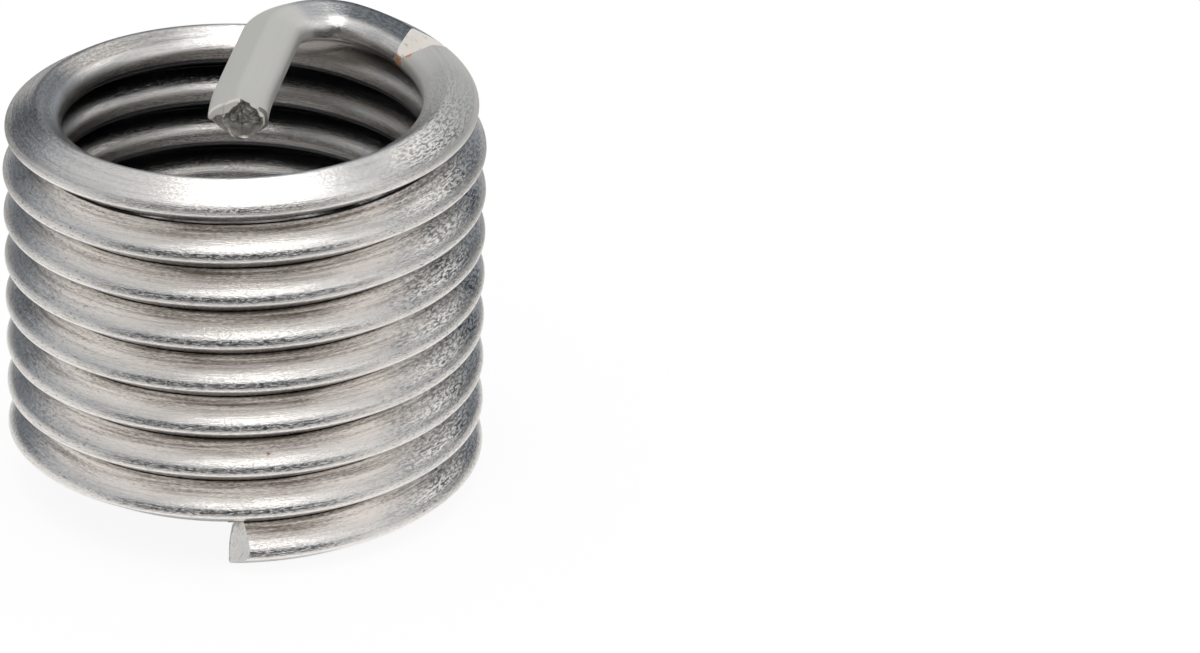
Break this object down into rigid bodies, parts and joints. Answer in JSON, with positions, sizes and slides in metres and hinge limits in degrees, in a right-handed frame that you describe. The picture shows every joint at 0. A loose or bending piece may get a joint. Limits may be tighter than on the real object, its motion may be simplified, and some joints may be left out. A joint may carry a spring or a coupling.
{
  "type": "helical thread insert",
  "caption": "Relaxed coil of diamond-section steel wire that lines a tapped hole, with a driving tang bent across its top and a break-off notch.",
  "frame": {"origin": "on the coil axis, level with the lowest point of the plain wire end", "axes": "+Z along the coil axis from the plain wire end towards the tang; the plain wire end lies towards -Y"},
  "size_m": [0.0096, 0.0096, 0.0087],
  "materials": {
    "steel_wire": "bright drawn wire with fine lines along it"
  },
  "bodies": {
    "root": {"insert_wire": "steel_wire"}
  },
  "joints": []
}
